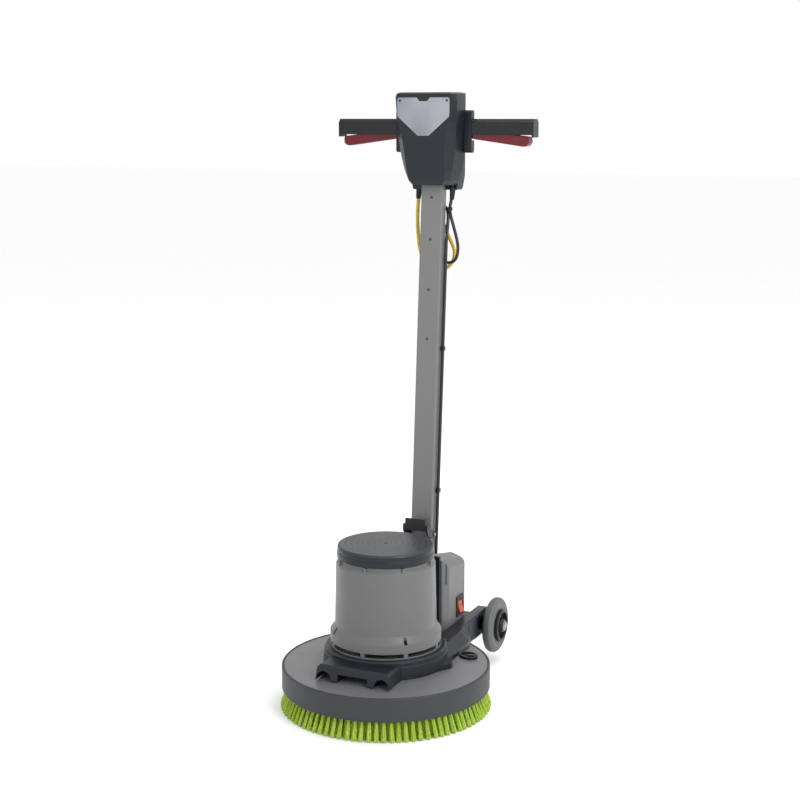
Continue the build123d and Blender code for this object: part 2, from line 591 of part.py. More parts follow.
# ---- wheels -----------------------------------------------------------------------------
def save_wheels():
    half = WHEEL_WIDTH / 2
    tyre_outline = [(HUB_R, -half + 2), (HUB_R + 11, -half), (WHEEL_R - 8, -half + 0.6),
                    (WHEEL_R - 2.5, -half + 4), (WHEEL_R - 0.4, -half + 7.5)]
    for groove in (-2.6, 3.4):
        tyre_outline += [(WHEEL_R, groove - 1.2), (WHEEL_R - 1.5, groove - 0.6),
                         (WHEEL_R - 1.5, groove + 0.6), (WHEEL_R, groove + 1.2)]
    tyre_outline += [(WHEEL_R - 0.4, half - 7), (WHEEL_R - 2.5, half - 3.5), (WHEEL_R - 8, half - 0.4),
                     (HUB_R + 11, half), (HUB_R, half - 1.5)]
    tyre = turned(tyre_outline)
    hub = turned([
        (AXLE_R + RUNNING_GAP, -half - 0.5), (14, -half - 0.5), (14, -half + 6), (HUB_R - 4, -half + 6),
        (HUB_R - 4, -half + 2), (HUB_R, -half + 2), (HUB_R, HUB_REACH - 5), (HUB_R - 2, HUB_REACH - 3),
        (HUB_R - 6, HUB_REACH - 3), (HUB_R - 8, 9), (18, 8), (16, HUB_REACH - 5), (14, HUB_REACH),
        (AXLE_R + RUNNING_GAP, HUB_REACH),
    ])
    centre_x = WHEEL_OUTER_X - half
    for name, side in (("left", 1), ("right", -1)):
        place = Pos(side * centre_x, AXLE_Y, AXLE_Z) * Rot(0, side * 90, 0)
        save(f"wheel_tyre_{name}", place * tyre)
        save(f"wheel_hub_{name}", place * hub)
    axle_end = centre_x + HUB_REACH + 0.1
    save("axle", rod_x(AXLE_R, -axle_end, axle_end, AXLE_Y, AXLE_Z))
    caps = []
    for side in (-1, 1):
        place = Pos(side * axle_end, AXLE_Y, AXLE_Z) * Rot(0, side * 90, 0)
        caps.append(place * turned([(0, 0), (11, 0), (11, 1.5), (8, 4), (0, 5)]))
    save("axle_caps", group(*caps))


# ---- pole -------------------------------------------------------------------------------
def pole_screws():
    """Screws down the front of the pole, flush with its wall."""
    front = PIVOT_Y - POLE_DEPTH / 2
    screws = []
    for height in POLE_SCREW_HEIGHTS:
        rise = (height - PIVOT_Z) / math.cos(math.radians(LEAN)) + PIVOT_Z
        shank = rod_y(2.6, front - 0.8, front + 3, 0, rise)
        screws.append(leaned(shank - rod_y(1.1, front - 1, front + 0.2, 0, rise)))
    return screws


def panel_screws():
    """Two screws in the top corners of the control panel."""
    return [rod_y(2.4, 192.1, 197, side * 53.5, 1259) for side in (-1, 1)]


def held_lead():
    """The motor lead where clips hold it down the back of the pole."""
    route = [on_pole(*LEAD_JOINT), on_pole(*LEAD_ELBOW), on_pole(*LEAD_END)]
    return tube_along(route, CABLE_R)


def save_pole():
    section = RectangleRounded(POLE_WIDTH, POLE_DEPTH, 4)
    bore = RectangleRounded(POLE_WIDTH - 2 * POLE_WALL, POLE_DEPTH - 2 * POLE_WALL, 2.5)
    tube = Pos(0, PIVOT_Y, POLE_BOTTOM) * extrude(section - bore, POLE_TOP - POLE_BOTTOM)
    swing = rod_x(POLE_FOOT_R, -40, 40, PIVOT_Y, PIVOT_Z)
    tube &= swing + block(-40, 40, PIVOT_Y - 40, PIVOT_Y + 40, PIVOT_Z, POLE_TOP)
    tube -= rod_x(PIVOT_R + 4, -40, 40, PIVOT_Y, PIVOT_Z)
    pedal_y = PIVOT_Y - 5
    pedal_z = PIVOT_Z + PEDAL_PIVOT_ABOVE
    tube -= rod_x(4, -40, 40, pedal_y, pedal_z)
    bush = rod_x(PIVOT_R + 4, -32, 32, PIVOT_Y, PIVOT_Z)
    bush -= rod_x(PIVOT_R + RUNNING_GAP, -50, 50, PIVOT_Y, PIVOT_Z)
    save("pivot_bush", leaned(bush))
    lead_end = bar_along(on_pole(*LEAD_ELBOW), on_pole(*LEAD_END), CABLE_R + 2.4)
    save("handle_pole", leaned(tube) - pole_screws() - lead_end - held_lead())
    save_pedal(pedal_y, pedal_z)
    rod = rod_z(3.5, PIVOT_Z + 20, pedal_z - 16, 0, PIVOT_Y + 3)
    rod += rod_z(7, PIVOT_Z + 16, PIVOT_Z + 26, 0, PIVOT_Y)
    save("latch_rod", leaned(rod))


def save_pedal(hinge_y, hinge_z):
    plate_y = PIVOT_Y - POLE_DEPTH / 2 - PEDAL_REACH
    pedal = block(-24, 24, plate_y, plate_y + 3, hinge_z + 12, hinge_z + 38)
    for side in (-1, 1):
        x0, x1 = sorted((side * 25.6, side * 29))
        arm = side_prism([(plate_y, hinge_z + 25), (plate_y, hinge_z + 12), (plate_y + 8, hinge_z + 1),
                          (hinge_y - 6, hinge_z - 8), (hinge_y + 4, hinge_z - 6), (hinge_y + 7, hinge_z),
                          (hinge_y + 4, hinge_z + 7), (hinge_y - 12, hinge_z + 12),
                          (plate_y + 8, hinge_z + 25)], x0, x1)
        inner, outer = sorted((side * 22, side * 29))
        pedal += arm + block(inner, outer, plate_y, plate_y + 3, hinge_z + 12, hinge_z + 25)
    pedal -= rod_x(3.96, -60, 60, hinge_y, hinge_z)
    save("foot_pedal", leaned(pedal))
    pedal_pin = leaned(rod_x(3.9, -31, 31, hinge_y, hinge_z))
    save("hinge_pins", group(pedal_pin, *lever_pins()))


# ---- head -------------------------------------------------------------------------------
def head_section(height, front_half, front_y, side_half, side_y, rear_half):
    """One level of the head's front cover: front facet, chamfered corner, then the side."""
    outline = mirrored([(front_half, front_y), (side_half, side_y), (rear_half, HEAD_SPLIT_Y)])
    return Pos(0, 0, height) * make_face(Polyline(*outline, close=True))


def head_form(levels):
    """Stack the levels of the head into one closed form."""
    sections = [head_section(*level) for level in levels]
    return loft(sections, ruled=True)


HEAD_LEVELS = (
    (1082, 33, 216, 42, 232, 50),
    (1092, 41, 211, 49, 228, 56),
    (1110, 43.5, 206, 54, 222, 62),
    (1143, 45, 199, 61, 218, 67.5),
    (1172, 47, 194, 65, 215, 69),
    (1215, 59, 194, 69, 212, 70),
    (1266, 64, 194, 70, 209, 70),
    (1273, 62, 196, 68, 210, 68),
    (1276, 57, 201, 63, 213, 63),
)


def save_head():
    outer = head_form(HEAD_LEVELS)
    hollow_levels = [(z, a - 4, b + 4, c - 4, d + 3, e - 4) for z, a, b, c, d, e in HEAD_LEVELS[1:-1]]
    cover = outer - (head_form(hollow_levels) + block(-46, 46, 222, 262, 1096, 1262))
    pole_slot = leaned(Pos(0, PIVOT_Y, 1000) * Box(POLE_WIDTH + 1, POLE_DEPTH + 1, 500))
    cover -= pole_slot
    rear_view = [(50, 1071), (52, 1075), (56, 1140), (66, 1160), (69, 1262), (61, 1275)]
    rear = front_prism(mirrored(rear_view), HEAD_SPLIT_Y, HEAD_REAR_Y)
    slope = side_prism([(HEAD_SPLIT_Y - 1, 1060), (286, 1060), (HEAD_REAR_Y, 1130), (HEAD_REAR_Y, 1238),
                        (HEAD_REAR_Y - 18, 1280), (HEAD_SPLIT_Y - 1, 1280)], -90, 90)
    taper = plan_prism(mirrored([(70, HEAD_SPLIT_Y), (66, 268), (54, 298), (48, HEAD_REAR_Y)]), 1060, 1290)
    rear = rear & slope & taper
    hollow = front_prism(mirrored([(44, 1080), (46, 1085), (51, 1142), (60, 1163), (63, 1255), (56, 1267)]),
                         HEAD_SPLIT_Y - 5, HEAD_REAR_Y - 5)
    inside = mirrored([(65, HEAD_SPLIT_Y - 6), (61, 268), (48, 296), (42, HEAD_REAR_Y - 4)])
    hollow &= plan_prism(inside, 1060, 1290)
    hollow = hollow & side_prism([(HEAD_SPLIT_Y - 6, 1050), (283, 1066), (HEAD_REAR_Y - 5, 1132),
                                  (HEAD_REAR_Y - 5, 1234), (HEAD_REAR_Y - 22, 1275),
                                  (HEAD_SPLIT_Y - 6, 1275)], -90, 90)
    rear -= hollow
    rear -= pole_slot
    rear -= rod_y(11, HEAD_REAR_Y - 20, HEAD_REAR_Y + 5, 0, 1205)
    for (x, y, _), radius in ((LEAD_LOOP_ROUTE[0], CABLE_R), (MAINS_CORD_ROUTE[0], CORD_R)):
        rear -= rod_z(radius + 5.0, 1060, 1082, x, y)
    save("head_rear_housing", rear)
    panel_outline = [
        (12.5, 1186), (58, 1225), (59.5, 1232), (59.5, 1262), (56.5, 1265), (15, 1265), (9, 1257.5),
    ]
    panel = front_prism(mirrored(panel_outline), 192.8, 194)
    save("control_panel", panel - panel_screws())
    save("handle_screws", group(*pole_screws(), *panel_screws()))
    save("head_front_cover", cover - panel_screws())
    save("switch_module", block(-30, 30, 212, 236, 1150, 1200))
    button = rod_y(10.7, HEAD_REAR_Y - 12, HEAD_REAR_Y + 5, 0, 1205)
    button += rod_y(13, HEAD_REAR_Y - 12, HEAD_REAR_Y - 9.5, 0, 1205)
    save("lock_button", button)


# ---- grips and levers -------------------------------------------------------------------
def save_grips():
    half = GRIP_DEPTH / 2
    outline = [
        (GRIP_Y - half, GRIP_TOP - GRIP_HEIGHT), (GRIP_Y - half, GRIP_TOP - 8), (GRIP_Y - half + 7, GRIP_TOP),
        (GRIP_Y + half - 7, GRIP_TOP), (GRIP_Y + half, GRIP_TOP - 8), (GRIP_Y + half, GRIP_TOP - GRIP_HEIGHT),
        (GRIP_Y + half - GRIP_WALL, GRIP_TOP - GRIP_HEIGHT), (GRIP_Y + half - GRIP_WALL, GRIP_TOP - 9),
        (GRIP_Y + half - 8, GRIP_TOP - GRIP_WALL), (GRIP_Y - half + 8, GRIP_TOP - GRIP_WALL),
        (GRIP_Y - half + GRIP_WALL, GRIP_TOP - 9), (GRIP_Y - half + GRIP_WALL, GRIP_TOP - GRIP_HEIGHT),
    ]
    cap_outline = outline[:6]
    cap_outline = [(GRIP_Y - half, GRIP_TOP - GRIP_HEIGHT - 5)] + cap_outline[1:5]
    cap_outline += [(GRIP_Y + half, GRIP_TOP - GRIP_HEIGHT - 5)]
    for name, side in (("left", 1), ("right", -1)):
        x0, x1 = sorted((side * GRIP_START, side * GRIP_END))
        grip = side_prism(outline, x0, x1)
        c0, c1 = sorted((side * (GRIP_END - 4), side * GRIP_END))
        grip += side_prism(cap_outline, c0, c1)
        r0, r1 = sorted((side * GRIP_START, side * (GRIP_START + 4)))
        grip += block(r0, r1, GRIP_Y - half + 1, GRIP_Y + half - 1, GRIP_TOP - 12, GRIP_TOP - 2)
        save(f"grip_{name}", grip)
        save_lever(name, side)
    brackets = []
    for side in (-1, 1):
        x0, x1 = sorted((side * 70.2, side * GRIP_START))
        front = GRIP_Y - half
        plate = side_prism([(front, 1154), (front + 4, 1150), (front + 13, 1150), (front + 17, 1154),
                            (front + 17, 1235), (front + 13, 1239), (front + 4, 1239), (front, 1235)], x0, x1)
        plate += block(x0, x1, GRIP_Y - half, GRIP_Y + half, GRIP_TOP - 36, GRIP_TOP)
        brackets.append(plate - lever_root_cutter(side) - lever_pins())
    save("grip_brackets", group(*brackets))


def lever_pins():
    """Hinge pins of the two levers."""
    return [rod_y(2.5, GRIP_Y - 15, GRIP_Y + 15, side * LEVER_HINGE_X, LEVER_HINGE_Z) for side in (-1, 1)]


def lever_root_cutter(side):
    """Pocket in the bracket where the lever's root turns on its pin."""
    x0, x1 = sorted((side * 72, side * 95))
    return block(x0, x1, GRIP_Y - 13, GRIP_Y + 13, 1176, GRIP_TOP - 7)


def save_lever(name, side):
    half = LEVER_WIDTH / 2
    outline = [
        (LEVER_HINGE_X - 5, 1199), (LEVER_HINGE_X - 3, 1190), (88, 1179), (201, 1163.5), (209, 1165),
        (213, 1170), (214, 1176), (212.5, 1184), (150, 1191), (86, 1203), (LEVER_HINGE_X, 1204),
    ]
    solid = front_prism([(side * x, z) for x, z in outline], GRIP_Y - half, GRIP_Y + half)
    hollow_outline = [(90, 1186), (201, 1170), (209, 1173), (208, 1190), (150, 1197), (90, 1210)]
    outline = [(side * x, z) for x, z in hollow_outline]
    hollow = front_prism(outline, GRIP_Y - half + 2.6, GRIP_Y + half - 2.6)
    lever = solid - hollow
    lever -= rod_y(2.55, GRIP_Y - 20, GRIP_Y + 20, side * LEVER_HINGE_X, LEVER_HINGE_Z)
    save(f"lever_{name}", lever)


# ---- cable and mains cord ---------------------------------------------------------------
LEAD_LOOP_ROUTE = (
    (41, 262, 1086), (38.5, 262, 1054), (30.5, 265, 1028), (40, 272, 988), (50, 275, 946),
    (42, 276, 915), (12, 279, 911), (-10, 280, 940), (-13, 280, 995), (-2, 280, 1034),
    (22, 275, 1036), (31, 262, 1008),
)
MAINS_CORD_ROUTE = (
    (-41, 273, 1086), (-48, 275, 1028), (-48, 278, 975), (-44, 283, 931), (-33, 288, 903), (-5, 293, 891),
    (23, 295, 903), (35, 295, 931), (24, 295, 959), (8, 295, 985),
)
PLUG_START = (9.5, 295, 982.5)
PLUG_END = (-20.9, 295, 1031.9)


def collar_along(start, end, radius_start, radius_end):
    """Tapered round body between two points."""
    here = Vector(*start)
    axis = Vector(*end) - here
    base = Plane(here, z_dir=axis)
    cone = Cone(radius_start, radius_end, axis.length, align=(Align.CENTER, Align.CENTER, Align.MIN))
    return base * cone


def bar_along(start, end, radius):
    """Round bar between two points."""
    here = Vector(*start)
    axis = Vector(*end) - here
    return extrude(Plane(here, z_dir=axis) * Circle(radius), axis.length, dir=axis.normalized())


def save_cords():
    lead_loop = tube_along(LEAD_LOOP_ROUTE + (on_pole(*LEAD_JOINT),), CABLE_R)
    save("motor_lead_loop", lead_loop)
    save("mains_cord", tube_along(MAINS_CORD_ROUTE, CORD_R))
    save("motor_lead_run", held_lead())
    clips = []
    for height in (732, 420):
        clip = Pos(29.2, PIVOT_Y + LEAD_OFFSET, height) * (Box(8, 11, 9) - Cylinder(CABLE_R, 12))
        clips.append(leaned(clip))
    x, y, z = LEAD_LOOP_ROUTE[2]
    strap = Cylinder(6.5, 7) - Cylinder(5.6, 12)
    clips.append(Pos(x + 1, y, z + 2) * strap - lead_loop)
    save("cable_clips", group(*clips))
    glands = []
    for route, radius in ((LEAD_LOOP_ROUTE, CABLE_R), (MAINS_CORD_ROUTE, CORD_R)):
        top = Vector(*route[0])
        run = (Vector(*route[1]) - top).normalized()
        gland = collar_along(top + run * 10, top + run * 36, radius + 3.2, radius + 1.2)
        glands.append(gland - bar_along(top, top + run * 50, radius))
    save("cord_glands", group(*glands))
    start = Vector(*PLUG_START)
    run = (Vector(*PLUG_END) - start).normalized()
    plug = collar_along(start, start + run * 16, CORD_R + 1.5, 8.5)
    plug += bar_along(start + run * 16, start + run * 46, 9.5)
    plug -= bar_along(start - run * 1, start + run * 6, CORD_R + 0.6)
    plug += collar_along(start + run * 46, start + run * 58, 8.6, 8.2)
    save("mains_plug", plug)


def main():
    os.makedirs("parts", exist_ok=True)
    save_brush()
    save_gears()
    save_deck()
    save("chassis_yoke", make_yoke())
    save_motor()
    save_gearbox()
    save_rear_housing()
    save_pivot()
    save_wheels()
    save_pole()
    save_head()
    save_grips()
    save_cords()


main()
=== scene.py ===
"""Looks of the rotary floor machine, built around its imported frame. Metres throughout."""
import json
import math
import random

import bmesh
import bpy
from mathutils import Matrix, Vector


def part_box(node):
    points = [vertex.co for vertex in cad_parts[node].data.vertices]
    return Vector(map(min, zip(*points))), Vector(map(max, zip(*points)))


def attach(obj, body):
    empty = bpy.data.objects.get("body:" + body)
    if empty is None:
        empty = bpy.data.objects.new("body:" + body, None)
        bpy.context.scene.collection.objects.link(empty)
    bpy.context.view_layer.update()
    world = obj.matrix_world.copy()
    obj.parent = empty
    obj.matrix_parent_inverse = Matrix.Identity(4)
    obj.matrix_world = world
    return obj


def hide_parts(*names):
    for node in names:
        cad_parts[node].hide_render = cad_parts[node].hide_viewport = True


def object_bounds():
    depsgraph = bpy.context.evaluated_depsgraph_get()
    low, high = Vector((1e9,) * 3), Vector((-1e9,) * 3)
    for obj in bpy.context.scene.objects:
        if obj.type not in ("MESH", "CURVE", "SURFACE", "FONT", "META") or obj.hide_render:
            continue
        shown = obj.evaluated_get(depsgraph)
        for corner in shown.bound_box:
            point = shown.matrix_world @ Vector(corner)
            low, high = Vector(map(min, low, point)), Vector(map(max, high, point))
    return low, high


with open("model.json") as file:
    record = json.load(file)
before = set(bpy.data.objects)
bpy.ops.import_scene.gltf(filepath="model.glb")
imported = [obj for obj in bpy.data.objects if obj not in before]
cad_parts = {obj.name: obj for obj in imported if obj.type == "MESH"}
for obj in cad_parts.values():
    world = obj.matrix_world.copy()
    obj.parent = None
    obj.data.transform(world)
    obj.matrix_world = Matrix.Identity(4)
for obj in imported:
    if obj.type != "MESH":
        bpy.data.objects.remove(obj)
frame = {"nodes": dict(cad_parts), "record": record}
cad_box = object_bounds()
nodes = frame["nodes"]

# ---- camera and studio ------------------------------------------------------------------
CAMERA_PLACE = (1.3088, -2.8774, 1.2252)
CAMERA_DOWN = math.radians(10.275)
CAMERA_TURN = math.radians(23.92)
LENS = 70.34
FLOOR_HALF = 30.0


def make_camera():
    """Camera at the photograph's viewing angle."""
    data = bpy.data.cameras.new("camera")
    data.lens = LENS
    data.sensor_width = 36.0
    data.clip_end = 100.0
    camera = bpy.data.objects.new("camera", data)
    camera.location = CAMERA_PLACE
    camera.rotation_euler = (math.pi / 2 - CAMERA_DOWN, 0.0, CAMERA_TURN)
    bpy.context.scene.collection.objects.link(camera)
    bpy.context.scene.camera = camera


def make_light(name, place, aim, size, power):
    """Soft square light aimed at a point."""
    data = bpy.data.lights.new(name, "AREA")
    data.shape = "SQUARE"
    data.size = size
    data.energy = power
    light = bpy.data.objects.new(name, data)
    light.location = place
    light.rotation_euler = (Vector(aim) - Vector(place)).to_track_quat("-Z", "Y").to_euler()
    bpy.context.scene.collection.objects.link(light)


def make_studio():
    """White world, pale floor and three soft lights."""
    world = bpy.data.worlds.new("studio")
    world.use_nodes = True
    background = world.node_tree.nodes["Background"]
    background.inputs["Color"].default_value = (1.0, 1.0, 1.0, 1.0)
    background.inputs["Strength"].default_value = 1.0
    bpy.context.scene.world = world
    bpy.context.scene.view_settings.view_transform = "Standard"
    middle = (0.0, 0.1, 0.5)
    make_light("key", (3.0, -1.5, 2.3), middle, 1.6, 66.0)
    make_light("front", (-1.2, -3.2, 1.5), middle, 1.2, 5.0)
    make_light("top", (0.3, 0.9, 3.2), middle, 2.4, 46.0)
    mesh = bpy.data.meshes.new("floor")
    corners = [(-FLOOR_HALF, -FLOOR_HALF, 0), (FLOOR_HALF, -FLOOR_HALF, 0),
               (FLOOR_HALF, FLOOR_HALF, 0), (-FLOOR_HALF, FLOOR_HALF, 0)]
    mesh.from_pydata(corners, [], [(0, 1, 2, 3)])
    floor = bpy.data.objects.new("floor", mesh)
    bpy.context.scene.collection.objects.link(floor)
    floor.location.z = cad_box[0][2] - 0.0005
    floor.data.materials.append(plain("floor_pale", (0.97, 0.97, 0.97), 0.75, 4.0, 0.005))


# ---- materials --------------------------------------------------------------------------
class Shader:
    """A material under construction, with its object coordinates and its Principled shader."""

    def __init__(self, name):
        self.material = bpy.data.materials.new(name)
        self.material.use_nodes = True
        self.tree = self.material.node_tree
        self.surface = self.tree.nodes["Principled BSDF"]
        self.place = self.tree.nodes.new("ShaderNodeTexCoord").outputs["Object"]

    def node(self, kind, **values):
        """New node with attributes set by name."""
        made = self.tree.nodes.new(kind)
        for name, value in values.items():
            setattr(made, name, value)
        return made

    def link(self, source, target):
        self.tree.links.new(source, target)

    def set(self, **values):
        """Plain values on the Principled shader's sockets, with _ for spaces."""
        for name, value in values.items():
            self.surface.inputs[name.replace("_", " ")].default_value = value

    def noise(self, scale, detail=3.0, stretch=(1.0, 1.0, 1.0)):
        """Factor of a noise field over the object's own space."""
        mapping = self.node("ShaderNodeMapping")
        mapping.inputs["Scale"].default_value = stretch
        self.link(self.place, mapping.inputs["Vector"])
        field = self.node("ShaderNodeTexNoise")
        field.inputs["Scale"].default_value = scale
        field.inputs["Detail"].default_value = detail
        self.link(mapping.outputs["Vector"], field.inputs["Vector"])
        return field.outputs["Fac"]

    def ramp(self, factor, low, high, colour_low, colour_high):
        """Two colours blended over a factor's range."""
        ramp = self.node("ShaderNodeValToRGB")
        ramp.color_ramp.elements[0].position = low
        ramp.color_ramp.elements[0].color = (*colour_low, 1.0)
        ramp.color_ramp.elements[1].position = high
        ramp.color_ramp.elements[1].color = (*colour_high, 1.0)
        self.link(factor, ramp.inputs["Fac"])
        return ramp.outputs["Color"]

    def mix(self, factor, first, second, mode="MIX"):
        """Colour mix of two sockets or colours."""
        mixer = self.node("ShaderNodeMix", data_type="RGBA", blend_type=mode)
        self.feed(mixer.inputs[0], factor)
        self.feed(mixer.inputs[6], first)
        self.feed(mixer.inputs[7], second)
        return mixer.outputs[2]

    def feed(self, socket, value):
        """Link a socket, or set a plain number or colour."""
        if isinstance(value, bpy.types.NodeSocket):
            self.link(value, socket)
        elif isinstance(value, tuple):
            socket.default_value = (*value, 1.0)
        else:
            socket.default_value = value

    def spread(self, factor, low, high):
        """Factor mapped to a number range."""
        mapped = self.node("ShaderNodeMapRange")
        mapped.inputs["To Min"].default_value = low
        mapped.inputs["To Max"].default_value = high
        self.link(factor, mapped.inputs["Value"])
        return mapped.outputs["Result"]

    def bump(self, *layers, edge=0.0):
        """Bump layers of (factor, distance), over edges rounded to a radius."""
        normal = None
        if edge > 0.0:
            rounded = self.node("ShaderNodeBevel", samples=6)
            rounded.inputs["Radius"].default_value = edge
            normal = rounded.outputs["Normal"]
        for factor, distance in layers:
            bump = self.node("ShaderNodeBump")
            bump.inputs["Strength"].default_value = 1.0
            bump.inputs["Distance"].default_value = distance
            self.link(factor, bump.inputs["Height"])
            if normal is not None:
                self.link(normal, bump.inputs["Normal"])
            normal = bump.outputs["Normal"]
        self.link(normal, self.surface.inputs["Normal"])


def shade(colour, factor):
    """Colour made lighter or darker."""
    return tuple(min(1.0, part * factor) for part in colour)


def plain(name, colour, roughness, grain_scale, variation):
    """Quiet matte surface with a little variation."""
    shader = Shader(name)
    field = shader.noise(grain_scale)
    tone = shader.ramp(field, 0.3, 0.7, shade(colour, 1 - variation), shade(colour, 1 + variation))
    shader.link(tone, shader.surface.inputs["Base Color"])
    shader.set(Roughness=roughness)
    return shader.material


def moulded_shader(name, colour, roughness, edge=0.0012, gloss=0.5):
    """Moulded plastic: fine spark texture, slow tone drift, dulled patches and rounded edges."""
    shader = Shader(name)
    drift = shader.noise(7.0, 4.0)
    tone = shader.ramp(drift, 0.3, 0.7, shade(colour, 0.95), shade(colour, 1.05))
    shader.link(tone, shader.surface.inputs["Base Color"])
    dull = shader.noise(18.0, 5.0)
    shader.link(shader.spread(dull, roughness - 0.08, roughness + 0.1), shader.surface.inputs["Roughness"])
    shader.set(Specular_IOR_Level=gloss)
    spark = shader.noise(1400.0, 2.0)
    wave = shader.noise(26.0, 2.0)
    shader.bump((wave, 0.00035), (spark, 0.00004), edge=edge)
    return shader


def moulded(name, colour, roughness, edge=0.0012, gloss=0.5):
    """Finished material of a moulded plastic."""
    return moulded_shader(name, colour, roughness, edge, gloss).material


def metal(name, colour, roughness=0.3, stretch=(1.0, 1.0, 1.0), edge=0.0004):
    """Plated or turned metal with fine drawn lines."""
    shader = Shader(name)
    lines = shader.noise(900.0, 3.0, stretch)
    tone = shader.ramp(lines, 0.3, 0.7, shade(colour, 0.86), shade(colour, 1.08))
    shader.link(tone, shader.surface.inputs["Base Color"])
    shader.link(shader.spread(lines, roughness - 0.06, roughness + 0.12), shader.surface.inputs["Roughness"])
    shader.set(Metallic=1.0)
    shader.bump((lines, 0.00003), edge=edge)
    return shader.material


SLATE = (0.0085, 0.0120, 0.0170)
SCUFFED = (0.060, 0.064, 0.070)
RUBBED_DEPTH = 0.004


def worn_cap_material():
    """Slate plastic whose flat top is rubbed in rings around its middle."""
    shader = moulded_shader("slate_worn", SLATE, 0.36, gloss=0.3)
    rings = shader.node("ShaderNodeTexWave", wave_type="RINGS", rings_direction="Z")
    rings.inputs["Scale"].default_value = 26.0
    rings.inputs["Distortion"].default_value = 1.4
    rings.inputs["Detail"].default_value = 4.0
    rings.inputs["Detail Scale"].default_value = 3.0
    shader.link(shader.place, rings.inputs["Vector"])
    patches = shader.ramp(shader.noise(9.0, 5.0), 0.35, 0.75, (0.15, 0.15, 0.15), (1.0, 1.0, 1.0))
    rubbed = shader.mix(1.0, rings.outputs["Color"], patches, "MULTIPLY")
    split = shader.node("ShaderNodeSeparateXYZ")
    shader.link(shader.place, split.inputs["Vector"])
    top = shader.node("ShaderNodeMath", operation="GREATER_THAN")
    shader.link(split.outputs["Z"], top.inputs[0])
    top.inputs[1].default_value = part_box("motor_cap")[1].z - RUBBED_DEPTH
    wear = shader.node("ShaderNodeMath", operation="MULTIPLY")
    shader.link(rubbed, wear.inputs[0])
    shader.link(top.outputs["Value"], wear.inputs[1])
    shader.link(shader.mix(wear.outputs["Value"], SLATE, SCUFFED), shader.surface.inputs["Base Color"])
    return shader.material


def make_materials():
    """One material for each of the record's slots."""
    return {
        "slate_plastic": moulded("slate_plastic", SLATE, 0.36, gloss=0.3),
        "grey_plastic": moulded("grey_plastic", (0.108, 0.108, 0.111), 0.40),
        "deck_plastic": moulded("deck_plastic", (0.112, 0.112, 0.117), 0.38),
        "skirt_rubber": moulded("skirt_rubber", (0.027, 0.030, 0.033), 0.5, gloss=0.35),
        "pole_paint": painted("pole_paint", (0.135, 0.135, 0.135)),
        "black_plastic": moulded("black_plastic", (0.007, 0.007, 0.008), 0.4, edge=0.0005, gloss=0.3),
        "grip_plastic": moulded("grip_plastic", (0.0050, 0.0064, 0.0090), 0.26, gloss=0.3),
        "red_plastic": moulded("red_plastic", (0.115, 0.006, 0.011), 0.26, gloss=0.3),
        "orange_plastic": moulded("orange_plastic", (0.42, 0.040, 0.010), 0.28, edge=0.0008),
        "bristle_green": bristle_material(),
        "brush_block": moulded("brush_block", (0.020, 0.022, 0.024), 0.5),
        "panel_silver": panel_material(),
        "yellow_cord": sheathed("yellow_cord", (0.52, 0.36, 0.015)),
        "black_cable": sheathed("black_cable", (0.010, 0.010, 0.011)),
        "grey_tyre": moulded("grey_tyre", (0.095, 0.100, 0.097), 0.55),
        "steel": metal("steel", (0.30, 0.30, 0.31), 0.28),
        "dark_steel": metal("dark_steel", (0.055, 0.055, 0.060), 0.42),
        "lamination_steel": metal("lamination_steel", (0.42, 0.42, 0.43), 0.45, (0.05, 0.05, 1.0)),
        "cast_alloy": metal("cast_alloy", (0.50, 0.51, 0.52), 0.5),
        "copper": metal("copper", (0.62, 0.27, 0.12), 0.35, (1.0, 1.0, 0.05)),
        "gear_nylon": moulded("gear_nylon", (0.72, 0.70, 0.62), 0.4, edge=0.0003),
    }


def painted(name, colour):
    """Powder-coated steel: orange peel and a soft coat."""
    shader = Shader(name)
    drift = shader.noise(5.0, 3.0)
    tone = shader.ramp(drift, 0.3, 0.7, shade(colour, 0.96), shade(colour, 1.04))
    shader.link(tone, shader.surface.inputs["Base Color"])
    shader.set(Roughness=0.38, Coat_Weight=0.25, Coat_Roughness=0.3)
    peel = shader.noise(420.0, 2.0)
    shader.bump((peel, 0.00003), edge=0.0006)
    return shader.material


def sheathed(name, colour):
    """PVC cord sheath, slightly glossy with handling marks."""
    shader = Shader(name)
    marks = shader.noise(60.0, 5.0)
    tone = shader.ramp(marks, 0.35, 0.7, shade(colour, 0.85), shade(colour, 1.1))
    shader.link(tone, shader.surface.inputs["Base Color"])
    shader.link(shader.spread(marks, 0.3, 0.5), shader.surface.inputs["Roughness"])
    shader.bump((marks, 0.00008))
    return shader.material


def bristle_material():
    """Lime nylon filament with fine fibre lines."""
    shader = Shader("bristle_green")
    fibres = shader.noise(700.0, 3.0, (1.0, 1.0, 0.06))
    tone = shader.ramp(fibres, 0.3, 0.72, (0.15, 0.27, 0.008), (0.46, 0.64, 0.040))
    shader.link(tone, shader.surface.inputs["Base Color"])
    shader.set(Roughness=0.38)
    shader.bump((fibres, 0.00015))
    return shader.material


def panel_material():
    """Metallic printed film under a glossy face, with a painted sheen of soft lighter and darker patches in
    its base colour.
    """
    shader = Shader("panel_silver")
    flake = shader.noise(2200.0, 2.0)
    # painted sheen: slow patches of lighter and darker base colour stand in for reflections on the glossy
    # face
    painted_sheen = shader.noise(11.0, 2.0, (1.0, 1.0, 0.7))
    tone = shader.ramp(painted_sheen, 0.35, 0.65, (0.150, 0.165, 0.190), (0.255, 0.265, 0.295))
    shader.link(tone, shader.surface.inputs["Base Color"])
    shader.set(Metallic=0.5, Roughness=0.25, Coat_Weight=0.35, Coat_Roughness=0.1)
    shader.bump((flake, 0.00001), edge=0.0004)
    return shader.material


# ---- mesh helpers -----------------------------------------------------------------------
def new_piece(name, mesh, body, slot, *replaced):
    """Mesh object in the row frame that rides on a body."""
    piece = bpy.data.objects.new(name, mesh)
    bpy.context.scene.collection.objects.link(piece)
    finish_piece(piece, body, slot, *replaced)
    return piece


